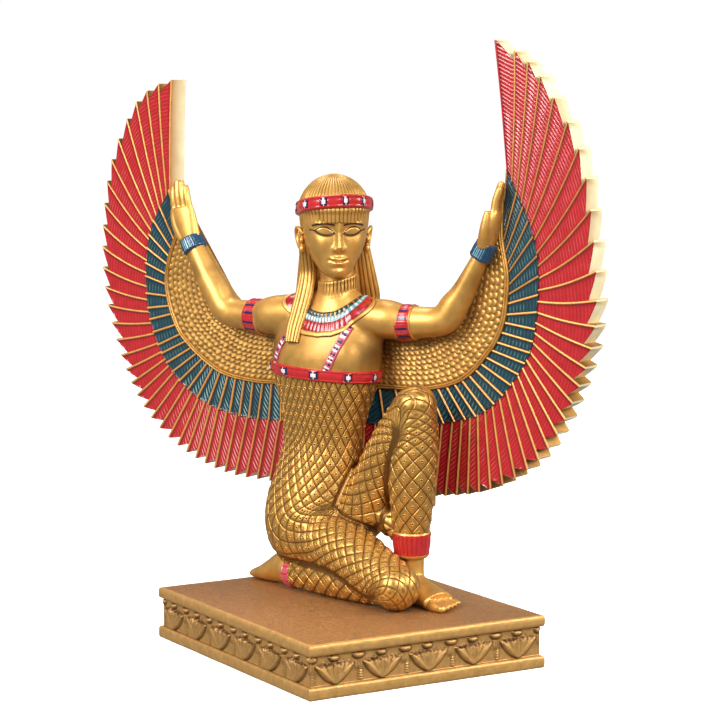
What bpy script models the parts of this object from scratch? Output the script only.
"""A kneeling winged goddess on a low plinth: a small painted statue cast in resin.

Metres, +Z up. The origin is the centre of the plinth's underside, and the legs point along -Y.
Two pieces: the plinth, and the figure with her spread wings, which is one casting.
"""
import math

import bmesh
import bpy
from mathutils import Matrix, Vector

# Plinth: a thick slab with a recessed frieze between two plain bands
PLINTH_WIDTH = 0.122
PLINTH_DEPTH = 0.145
FOOT_BAND = 0.0056
FRIEZE = 0.0135
TOP_BAND = 0.0051
FRIEZE_RECESS = 0.0016
EDGE_ROUND = 0.0007
LOTUS_RELIEF = 0.0011
FRONT_LOTUSES = 5
SIDE_LOTUSES = 6

# Figure: its height from the plinth's top to her crown
FIGURE_HEIGHT = 0.196
WING_THICKNESS = 0.0125
TEAL_STEP = 0.0007
RED_STEP = 0.0015
QUILL_RISE = 0.0009
BAND_RISE = 0.0009
NOTCH_DEPTH = 0.0042
FEATHERS = 38
SEAT_GAP = 0.0003
ORNAMENT_RISE = 0.0010

# Fineness of the figure's surface
VOXEL = 0.0010
SMOOTHING = 3
FIGURE_FACES = 4300

# The pose is drawn in units of 1/196 of the figure's height, up from the plinth's top.
UNIT = FIGURE_HEIGHT / 196
PLINTH_HEIGHT = FOOT_BAND + FRIEZE + TOP_BAND
FLOOR = PLINTH_HEIGHT + SEAT_GAP

# The torso and wings are turned from the front towards her right. This is their own frame.
TORSO_TURN = math.radians(63.7)
HEAD_TURN = math.radians(22.0)
WING_CENTRE = (18.9, 38.2)
FORWARD = Vector((-math.sin(TORSO_TURN), -math.cos(TORSO_TURN), 0))
ACROSS = Vector((math.cos(TORSO_TURN), -math.sin(TORSO_TURN), 0))
HEAD_FORWARD = Vector((-math.sin(HEAD_TURN), -math.cos(HEAD_TURN), 0))
HEAD_ACROSS = Vector((math.cos(HEAD_TURN), -math.sin(HEAD_TURN), 0))
UP = Vector((0, 0, 1))
HEAD_CENTRE = (3.4, 9.9, 174)

# Wing outlines: feather line, distance out from the middle, height. Line 0 is the leading edge.
TIPS = {
    "right": [(0, 100, 239), (1, 108, 237), (3, 122, 228), (6, 138, 199), (9, 144, 166), (12, 143, 135),
              (16, 133, 101), (20, 119, 76), (24, 98, 58), (29, 69, 47), (33, 42, 45), (38, 0, 44)],
    "left": [(0, 83, 257), (1, 93, 252), (3, 106, 241), (6, 126, 209), (9, 134, 168), (12, 135, 130),
             (16, 124, 95), (20, 107, 68), (24, 82, 52), (29, 52, 46), (33, 30, 45), (38, 0, 44)],
}
TEAL_ENDS = {
    "right": [(0, 101.7, 185), (4.5, 112, 169), (9, 116.5, 149), (13, 115, 123), (18, 104, 99),
              (23, 85, 83), (28, 62, 76), (33, 36, 75), (38, 0, 75)],
    "left": [(0, 89.8, 198.5), (4, 100.5, 178), (7, 106, 160), (12, 106, 135), (17, 101, 113),
             (23, 81, 89), (28, 58, 81), (33, 32, 78), (38, 0, 77)],
}
BANDS = {
    "right": [(0, 99.5, 178), (3, 97, 172), (6, 96, 165), (9, 101, 152), (12, 103, 139), (15, 99.5, 124),
              (18, 92, 112), (23, 72, 98), (28, 52, 94), (33, 32, 94), (38, 0, 95)],
    "left": [(0, 89, 191), (3, 88, 180), (6, 87.5, 168), (9, 90.5, 152), (12, 90, 139), (15, 88, 128),
             (18, 82, 117), (23, 68, 103), (28, 50, 97), (33, 28, 96), (38, 0, 96)],
}
ROOTS = {
    "right": [(0, 97.5, 171), (3, 94, 167), (6, 90, 162), (9, 84, 154), (12, 76, 143), (15, 68, 133),
              (18, 60, 128), (23, 45, 126), (30, 22, 127), (38, 0, 128)],
    "left": [(0, 88, 184), (3, 85, 176), (6, 81, 167), (9, 75, 157), (12, 69, 146), (15, 62, 135),
             (18, 54, 129), (23, 40, 128), (30, 20, 128), (38, 0, 128)],
}
SIDES = {"right": -1, "left": 1}


def on_plinth(x, y, up):
    """A point over the plinth: x to the right of its centre, y back from it."""
    return Vector((x * UNIT, y * UNIT, FLOOR + up * UNIT))


def in_torso(across, forward, up):
    """A point in the torso's frame: across to her left, forward of the wings' front."""
    centre = on_plinth(WING_CENTRE[0], WING_CENTRE[1], up)
    return centre + ACROSS * (across * UNIT) + FORWARD * (forward * UNIT)


def in_head(across, forward, up):
    """A point in the head's frame: up and down from the head's centre."""
    centre = in_torso(*HEAD_CENTRE)
    return centre + HEAD_ACROSS * (across * UNIT) + HEAD_FORWARD * (forward * UNIT) + UP * (up * UNIT)


def follow(stations, at):
    """A smooth curve through stations whose first value is the place along it."""
    last = len(stations) - 1
    segment = 0
    while segment < last - 1 and at > stations[segment + 1][0]:
        segment += 1
    before = stations[max(segment - 1, 0)]
    start = stations[segment]
    end = stations[segment + 1]
    after = stations[min(segment + 2, last)]
    span = end[0] - start[0]
    share = min(max((at - start[0]) / span, 0.0), 1.0)
    result = []
    for low, a, b, high in zip(before[1:], start[1:], end[1:], after[1:]):
        slope_a = (b - low) / (end[0] - before[0]) * span
        slope_b = (high - a) / (after[0] - start[0]) * span
        h = share
        result.append((2 * h ** 3 - 3 * h ** 2 + 1) * a + (h ** 3 - 2 * h ** 2 + h) * slope_a
                      + (3 * h ** 2 - 2 * h ** 3) * b + (h ** 3 - h ** 2) * slope_b)
    return result


def ring(bm, centre, side, depth, half_width, half_depth, sides):
    """An ellipse of vertices round a centre."""
    verts = []
    for step in range(sides):
        angle = 2 * math.pi * step / sides
        verts.append(bm.verts.new(centre + side * (half_width * UNIT * math.cos(angle))
                                  + depth * (half_depth * UNIT * math.sin(angle))))
    return verts


def skin(bm, rings):
    """Bridge rings into a closed tube."""
    for lower, upper in zip(rings, rings[1:]):
        count = len(lower)
        for i in range(count):
            j = (i + 1) % count
            bm.faces.new((lower[i], lower[j], upper[j], upper[i]))
    bm.faces.new(list(reversed(rings[0])))
    bm.faces.new(rings[-1])


def loft(bm, stations, side, depth, place, sides=28, steps=3):
    """Level sections: height, across, forward, half width, half depth."""
    rings = []
    count = (len(stations) - 1) * steps
    numbered = [(index,) + station for index, station in enumerate(stations)]
    for step in range(count + 1):
        up, across, forward, half_width, half_depth = follow(numbered, step / steps)
        rings.append(ring(bm, place(across, forward, up), side, depth, half_width, half_depth, sides))
    skin(bm, rings)


def limb(bm, stations, across_hint, sides=20, steps=4):
    """A tube along a path: point, half width along the hint, half depth."""
    numbered = []
    for index, (point, half_width, half_depth) in enumerate(stations):
        numbered.append((index, point.x, point.y, point.z, half_width, half_depth))
    count = (len(stations) - 1) * steps
    samples = [follow(numbered, step / steps) for step in range(count + 1)]
    points = [Vector(sample[:3]) for sample in samples]
    rings = []
    for index, sample in enumerate(samples):
        ahead = points[min(index + 1, count)] - points[max(index - 1, 0)]
        ahead.normalize()
        depth = ahead.cross(across_hint).normalized()
        side = depth.cross(ahead).normalized()
        rings.append(ring(bm, points[index], side, depth, sample[3], sample[4], sides))
    skin(bm, rings)


def ball(bm, centre, radii, axes=(ACROSS, FORWARD, UP), fine=3):
    """An ellipsoid with its own axes."""
    made = bmesh.ops.create_icosphere(bm, subdivisions=fine, radius=1)
    for vert in made["verts"]:
        offset = Vector((0, 0, 0))
        for value, radius, axis in zip(vert.co, radii, axes):
            offset += axis * (value * radius * UNIT)
        vert.co = centre + offset


def torso(bm):
    """From the seat to the neck, with the bust and the buttocks."""
    loft(bm, [(12, -6, 17, 14, 12), (20, -6, 16.5, 20, 17), (32, -6, 16, 23.5, 18.5), (44, -5, 15, 23.5, 17.5),
              (56, -3, 13.6, 22, 16), (70, -1.2, 12.8, 20.4, 14), (84, -0.5, 12.3, 22.6, 15),
              (95, 0, 12, 26, 16.3), (104, 0, 12, 28.4, 17), (115, 1, 11.5, 29, 15.5),
              (125, 2, 10.5, 27.5, 12.5), (132, 3, 9.5, 20, 10), (138, 4, 9, 11, 9), (146, 4.6, 9, 8.4, 8.4)],
         ACROSS, FORWARD, in_torso)
    for side in (-1, 1):
        ball(bm, in_torso(1 + side * 12.5, 19.5, 111.5), (12, 10, 10.5))
    ball(bm, in_torso(-12, 5, 27), (14, 14, 15))


def ornaments(bm):
    """Choker, collar, chest band and the headband, as raised bands."""
    rise = ORNAMENT_RISE / UNIT
    loft(bm, [(138.5, 4.6, 9, 9.6, 9.6), (147, 4.8, 9, 9.0, 9.0)], ACROSS, FORWARD, in_torso, steps=1)
    loft(bm, [(123, 2.4, 12, 23, 12.2), (127, 2.8, 12, 22, 11.6), (132, 3.2, 11, 19, 10.6), (138.5, 4.4, 9.3, 11.5, 10)],
         ACROSS, FORWARD, in_torso)
    loft(bm, [(101, 0, 12, 27.6 + rise, 17 + rise), (105.5, 0, 12, 28.8 + rise, 17.4 + rise)],
         ACROSS, FORWARD, in_torso, steps=1)
    loft(bm, [(3.6, 0, 0, 18.0, 20.2), (10.2, 0, -0.4, 16.9, 19.0)], HEAD_ACROSS, HEAD_FORWARD, in_head, steps=1)


def head(bm):
    """Neck, skull under its cap of hair, face, ears and the falling hair."""
    axes = (HEAD_ACROSS, HEAD_FORWARD, UP)
    limb(bm, [(in_torso(4.4, 9, 134), 9, 9), (in_torso(4.8, 9.2, 146), 8.2, 8.4), (in_head(0, -1.5, -14), 8.4, 9),
              (in_head(0, -1, -4), 9, 10)], ACROSS)
    ball(bm, in_head(0, 0, 3.4), (17.4, 19.4, 18.8), axes)
    ball(bm, in_head(0, 3.5, -6.5), (13.6, 14.4, 15.2), axes)
    ball(bm, in_head(0, 9.0, -15.5), (6.4, 7.4, 7.2), axes)
    limb(bm, [(in_head(0, 17.0, 1.5), 1.5, 1.3), (in_head(0, 18.2, -3.0), 1.8, 1.7),
              (in_head(0, 19.6, -6.6), 2.8, 2.0)], HEAD_ACROSS, sides=10)
    ball(bm, in_head(0, 16.0, -11.6), (4.6, 2.6, 2.4), axes, fine=2)
    for side in (-1, 1):
        ball(bm, in_head(side * 15.6, 0.5, -5.0), (2.2, 3.0, 4.6), axes, fine=2)
        limb(bm, [(in_head(side * 14.2, -3, 6), 3.4, 7), (in_head(side * 13.0, -4.5, -8), 3.6, 8),
                  (in_head(side * 12.4, -6, -22), 3.6, 7)], HEAD_ACROSS)
    loft(bm, [(-58, 1, -14.5, 16, 4), (-44, 2, -14.5, 18, 5.5), (-30, 2.4, -11.5, 18.2, 7), (-12, 1, -9, 16.6, 9.6),
              (4, 0, -5, 16, 13)], HEAD_ACROSS, HEAD_FORWARD, in_head)
    limb(bm, [(in_head(-11.2, 0, 0), 4.2, 6), (in_head(-12.6, 0.8, -10), 4.2, 5.4), (in_torso(-9.8, 16, 150), 4.0, 4.4),
              (in_torso(-10.6, 19.5, 140), 4.2, 3.6), (in_torso(-11.0, 23.4, 129), 4.5, 2.6),
              (in_torso(-10.4, 26, 119), 4.6, 2.2)], ACROSS)


def arm(bm, joints):
    """Shoulder, upper arm, elbow, forearm, wrist and a flat hand laid on the wing."""
    shoulder, upper, elbow, fore, wrist, palm, tips = joints
    limb(bm, [(in_torso(*shoulder), 10.0, 9.4), (in_torso(*upper), 7.7, 7.7),
              (in_torso(*elbow).lerp(in_torso(*upper), 0.35), 7.2, 7.2), (in_torso(*elbow), 7.2, 7.0),
              (in_torso(*elbow).lerp(in_torso(*fore), 0.45), 7.0, 6.8), (in_torso(*fore), 6.4, 6.2),
              (in_torso(*wrist), 5.2, 4.6)], FORWARD.cross(UP))
    ball(bm, in_torso(*shoulder), (10.5, 9.5, 9.8))
    limb(bm, [(in_torso(*wrist), 5.0, 4.6), (in_torso(*palm), 6.6, 4.2), (in_torso(*tips), 5.4, 2.8)], ACROSS)


def armlet(bm, start, end, radius):
    """A raised band round a limb."""
    limb(bm, [(start, radius, radius), (end, radius, radius)], FORWARD.cross(UP), steps=1)


def arms(bm):
    """Both raised arms, each with an armlet and a bracelet."""
    right = [(-25, 10.5, 127), (-40, 7.6, 126), (-61, 6.6, 127), (-74, 5.2, 145), (-83.5, 4.4, 160),
             (-90, 4, 173), (-93, 3.4, 189)]
    left = [(30, 10.5, 129), (41, 7.6, 127.5), (61.5, 6.6, 129), (71.5, 5.2, 144), (81.5, 4.4, 163),
            (87.5, 4, 178), (90, 3.4, 194)]
    for joints in (right, left):
        arm(bm, joints)
        upper = in_torso(*joints[1])
        elbow = in_torso(*joints[2])
        wrist = in_torso(*joints[4])
        fore = in_torso(*joints[3])
        armlet(bm, upper.lerp(elbow, -0.12), upper.lerp(elbow, 0.28), 8.6)
        armlet(bm, wrist.lerp(fore, -0.16), wrist.lerp(fore, 0.24), 6.1)


def kneeling_leg(bm):
    """Her right leg: the thigh lies forward, the shin on the plinth, the foot behind on its instep."""
    side = Vector((1, 0, 0))
    limb(bm, [(on_plinth(-1, 42, 27), 16, 16), (on_plinth(3.5, 20, 23.5), 15.2, 15), (on_plinth(5.5, 0, 19.6), 13.4, 13.2),
              (on_plinth(6.8, -18, 15), 12, 11.8), (on_plinth(7.6, -30, 11.6), 11, 10.8)], side)
    ball(bm, on_plinth(7.8, -31, 11), (11.2, 11.2, 11.0))
    limb(bm, [(on_plinth(8.4, -28, 8.6), 8.6, 8.4), (on_plinth(5, -12, 9), 9.6, 9.4), (on_plinth(1, 8, 9.4), 10, 9.8),
              (on_plinth(-3.6, 25, 8.6), 8.4, 8.4), (on_plinth(-7.6, 39, 7), 5.6, 6.2)], side)
    limb(bm, [(on_plinth(-7.2, 37, 7), 5.6, 6), (on_plinth(-7.2, 46, 8.4), 6.2, 7.4), (on_plinth(-7.2, 54, 6), 6.8, 6),
              (on_plinth(-7.4, 62, 3.6), 7.2, 4), (on_plinth(-7.6, 70, 2), 6.2, 2.4)], side)
    armlet(bm, on_plinth(-6.2, 35.5, 7.2), on_plinth(-7.6, 40, 7), 7)


def raised_leg(bm):
    """Her left leg: the knee is up and the foot flat on the plinth."""
    side = Vector((1, 0, 0))
    limb(bm, [(on_plinth(13, 20, 31), 13, 14), (on_plinth(16.5, 10, 42), 12, 13.5), (on_plinth(18.4, 2, 54), 11.4, 13),
              (on_plinth(19.6, -6, 67), 11, 12.4), (on_plinth(21.8, -14.5, 81), 10.2, 11),
              (on_plinth(23.8, -20, 90.5), 9.6, 9.8)], side)
    ball(bm, on_plinth(24.2, -21.2, 91.5), (9.9, 9.9, 9.6))
    limb(bm, [(on_plinth(24.2, -21.6, 92), 9.2, 9.2), (on_plinth(24.3, -21.2, 80), 10.2, 10.4),
              (on_plinth(24.0, -18.6, 62), 11.2, 12.2), (on_plinth(24.5, -17.6, 42), 9.2, 10),
              (on_plinth(24.9, -16.8, 28), 7.4, 8), (on_plinth(25, -16.8, 15), 4.4, 5.4),
              (on_plinth(24.4, -15.5, 6), 5.4, 7)], side)
    armlet(bm, on_plinth(24.7, -17.2, 35.5), on_plinth(24.9, -16.8, 25), 9.0)
    limb(bm, [(on_plinth(23.4, -8.5, 4.6), 5, 5), (on_plinth(24.2, -18, 7), 6, 7.4), (on_plinth(25.6, -28, 5.2), 7.6, 5.2),
              (on_plinth(27.2, -38, 3.2), 9.4, 3.6), (on_plinth(28.2, -45.5, 2.2), 9.2, 2.4)], side)
    limb(bm, [(on_plinth(17, 4, 44), 8, 8), (on_plinth(19.5, -5.5, 36), 6, 6.5), (on_plinth(21.5, -12, 31), 4.5, 5)], side)


def support_web(bm):
    """The plain strut that ties the raised knee and shin to the wing behind them."""
    for low, high, width in ((44, 72, 3.6), (70, 87, 4.4)):
        start = on_plinth(28.5, -21.5, low)
        limb(bm, [(start, width, 9), (start + UP * ((high - low) * UNIT), width, 9)], ACROSS, steps=1)


def close_mesh(name, bm):
    """Turn the bmesh into an object with its faces pointing out."""
    bmesh.ops.recalc_face_normals(bm, faces=bm.faces)
    mesh = bpy.data.meshes.new(name)
    bm.to_mesh(mesh)
    bm.free()
    made = bpy.data.objects.new(name, mesh)
    bpy.context.scene.collection.objects.link(made)
    return made


def apply_modifiers(made):
    """Keep the evaluated mesh in place of the modifiers."""
    depsgraph = bpy.context.evaluated_depsgraph_get()
    mesh = bpy.data.meshes.new_from_object(made.evaluated_get(depsgraph))
    made.modifiers.clear()
    made.data = mesh


def face_count(made):
    """How many triangles the object's mesh has."""
    made.data.calc_loop_triangles()
    return len(made.data.loop_triangles)


def body():
    """Her body, blended into one skin and thinned to few faces."""
    bm = bmesh.new()
    torso(bm)
    ornaments(bm)
    head(bm)
    arms(bm)
    kneeling_leg(bm)
    raised_leg(bm)
    support_web(bm)
    made = close_mesh("body", bm)
    blend = made.modifiers.new("blend", "REMESH")
    blend.mode = "VOXEL"
    blend.voxel_size = VOXEL
    smooth = made.modifiers.new("smooth", "SMOOTH")
    smooth.factor = 0.5
    smooth.iterations = SMOOTHING
    apply_modifiers(made)
    thin = made.modifiers.new("thin", "DECIMATE")
    thin.ratio = FIGURE_FACES / face_count(made)
    apply_modifiers(made)
    for vert in made.data.vertices:
        vert.co.z = max(vert.co.z, FLOOR)
    return made


def wing_point(side, curve, line, forward):
    """A point on one wing, with forward in metres."""
    out, up = follow(curve[side], line)
    return in_torso(SIDES[side] * out, 0, up) + FORWARD * forward


def wing_column(side, line, raised, tip_share):
    """One line of points from root to tip on the front, then back along the rear."""
    lift = QUILL_RISE if raised else 0
    root = wing_point(side, ROOTS, line, 0)
    band = wing_point(side, BANDS, line, 0)
    teal = wing_point(side, TEAL_ENDS, line, 0)
    tip = teal.lerp(wing_point(side, TIPS, line, 0), tip_share)
    inside_band = band.lerp(root, 0.12)
    front = [root, inside_band, band + FORWARD * BAND_RISE, band + FORWARD * (lift - TEAL_STEP),
             teal + FORWARD * (lift - TEAL_STEP), teal + FORWARD * (lift - RED_STEP),
             tip + FORWARD * (lift - RED_STEP)]
    front[3] = front[3].lerp(front[4], 0.05)
    front[5] = front[5].lerp(front[6], 0.03)
    rear = [tip - FORWARD * WING_THICKNESS, teal - FORWARD * WING_THICKNESS, root - FORWARD * WING_THICKNESS]
    return front + rear


def wing_columns(side):
    """Each feather has a raised, long edge at its quill and a low, short edge at the next one."""
    columns = [wing_column(side, 0, False, 1.0)]
    for line in range(1, FEATHERS):
        at = line * 38 / FEATHERS
        length = (wing_point(side, TIPS, at, 0) - wing_point(side, TEAL_ENDS, at, 0)).length
        columns.append(wing_column(side, at - 0.05, False, 1 - NOTCH_DEPTH / length))
        columns.append(wing_column(side, at + 0.05, True, 1.0))
    return columns


def wings():
    """Both wings as one sheet that passes behind her back."""
    bm = bmesh.new()
    right = wing_columns("right")
    left = wing_columns("left")
    middle = wing_column("right", 38, False, 0.9)
    rows = []
    for column in right + [middle] + list(reversed(left)):
        rows.append([bm.verts.new(point) for point in column])
    for first, second in zip(rows, rows[1:]):
        count = len(first)
        for i in range(count):
            j = (i + 1) % count
            bm.faces.new((first[i], first[j], second[j], second[i]))
    bm.faces.new(list(reversed(rows[0])))
    bm.faces.new(rows[-1])
    bmesh.ops.triangulate(bm, faces=bm.faces)
    return close_mesh("wings", bm)


def lotus(bm, centre, along, out):
    """An open lotus of five petals over a short stem, with a bud above, in low relief."""
    height = FRIEZE * 0.80
    base = centre - UP * (FRIEZE * 0.42)
    points = [base - along * (height * 0.10)]
    spread = [-80, -42, 0, 42, 80]
    for index, degrees in enumerate(spread):
        angle = math.radians(degrees)
        reach = height * (0.95 if abs(degrees) < 50 else 0.80)
        tip = base + along * (math.sin(angle) * reach) + UP * (math.cos(angle) * reach)
        if index:
            angle = math.radians((degrees + spread[index - 1]) / 2)
            reach = height * 0.60
            points.append(base + along * (math.sin(angle) * reach) + UP * (math.cos(angle) * reach))
        points.append(tip)
    points.append(base + along * (height * 0.10))
    raised_shape(bm, points, out)


def bud(bm, centre, along, out, width, height):
    """A round bud on the frieze."""
    points = []
    for step in range(6):
        angle = math.pi / 6 + step * math.pi / 3
        points.append(centre + along * (math.cos(angle) * width) + UP * (math.sin(angle) * height))
    raised_shape(bm, points, out)


def raised_shape(bm, points, out):
    """A flat outline raised from just inside the frieze."""
    back = [bm.verts.new(point - out * LOTUS_RELIEF) for point in points]
    front = [bm.verts.new(point + out * LOTUS_RELIEF) for point in points]
    count = len(points)
    for i in range(count):
        j = (i + 1) % count
        bm.faces.new((back[i], back[j], front[j], front[i]))
    bm.faces.new(list(reversed(back)))
    bm.faces.new(front)


def frieze_side(bm, middle, along, out, length, count):
    """A row of lotus flowers with a small bud between each pair."""
    pitch = length / count
    for index in range(count):
        place = middle + along * ((index - (count - 1) / 2) * pitch)
        lotus(bm, place, along, out)
        if index:
            bud(bm, place - along * (pitch / 2) + UP * (FRIEZE * 0.16), along, out, FRIEZE * 0.15, FRIEZE * 0.17)


def plinth():
    """The slab: level rings joined up its sides, then the relief on its frieze."""
    bm = bmesh.new()
    levels = [(0, EDGE_ROUND), (EDGE_ROUND, 0), (FOOT_BAND - EDGE_ROUND, 0), (FOOT_BAND, EDGE_ROUND),
              (FOOT_BAND, FRIEZE_RECESS), (FOOT_BAND + FRIEZE, FRIEZE_RECESS), (FOOT_BAND + FRIEZE, EDGE_ROUND),
              (FOOT_BAND + FRIEZE + EDGE_ROUND, 0), (PLINTH_HEIGHT - EDGE_ROUND, 0), (PLINTH_HEIGHT, EDGE_ROUND)]
    rings = []
    for height, inset in levels:
        half_width = PLINTH_WIDTH / 2 - inset
        half_depth = PLINTH_DEPTH / 2 - inset
        corners = ((-half_width, -half_depth), (half_width, -half_depth), (half_width, half_depth),
                   (-half_width, half_depth))
        rings.append([bm.verts.new((x, y, height)) for x, y in corners])
    skin(bm, rings)
    slab = close_mesh("plinth", bm)
    bm = bmesh.new()
    level = FOOT_BAND + FRIEZE / 2
    face_x = PLINTH_WIDTH / 2 - FRIEZE_RECESS
    face_y = PLINTH_DEPTH / 2 - FRIEZE_RECESS
    for sign in (-1, 1):
        front = Vector((0, sign, 0))
        frieze_side(bm, Vector((0, sign * face_y, level)), Vector((-sign, 0, 0)), front, 2 * face_x, FRONT_LOTUSES)
        side = Vector((sign, 0, 0))
        frieze_side(bm, Vector((sign * face_x, 0, level)), Vector((0, sign, 0)), side, 2 * face_y, SIDE_LOTUSES)
    relief = close_mesh("lotus_relief", bm)
    unite(slab, relief)
    return slab


def unite(made, other):
    """Fuse another solid into this one and delete it."""
    fuse = made.modifiers.new("fuse", "BOOLEAN")
    fuse.operation = "UNION"
    fuse.solver = "EXACT"
    fuse.object = other
    apply_modifiers(made)
    bpy.data.objects.remove(other)


def painted(name, colour, roughness, metallic):
    """A plain painted finish."""
    material = bpy.data.materials.new(name)
    material.use_nodes = True
    shader = material.node_tree.nodes["Principled BSDF"]
    shader.inputs["Base Color"].default_value = (*colour, 1)
    shader.inputs["Roughness"].default_value = roughness
    shader.inputs["Metallic"].default_value = metallic
    return material


def finish(made, name, material):
    """Name the piece, give it its paint and smooth shading."""
    made.name = name
    made.data.name = name
    made.data.materials.clear()
    made.data.materials.append(material)
    made.data.shade_smooth()
    made.data.set_sharp_from_angle(angle=math.radians(35))


def main():
    for old in list(bpy.data.objects):
        bpy.data.objects.remove(old)
    figure = body()
    unite(figure, wings())
    finish(figure, "figure", painted("antique_gold", (0.60, 0.36, 0.09), 0.35, 0.6))
    finish(plinth(), "plinth", painted("plinth_gold", (0.50, 0.30, 0.09), 0.45, 0.4))


main()
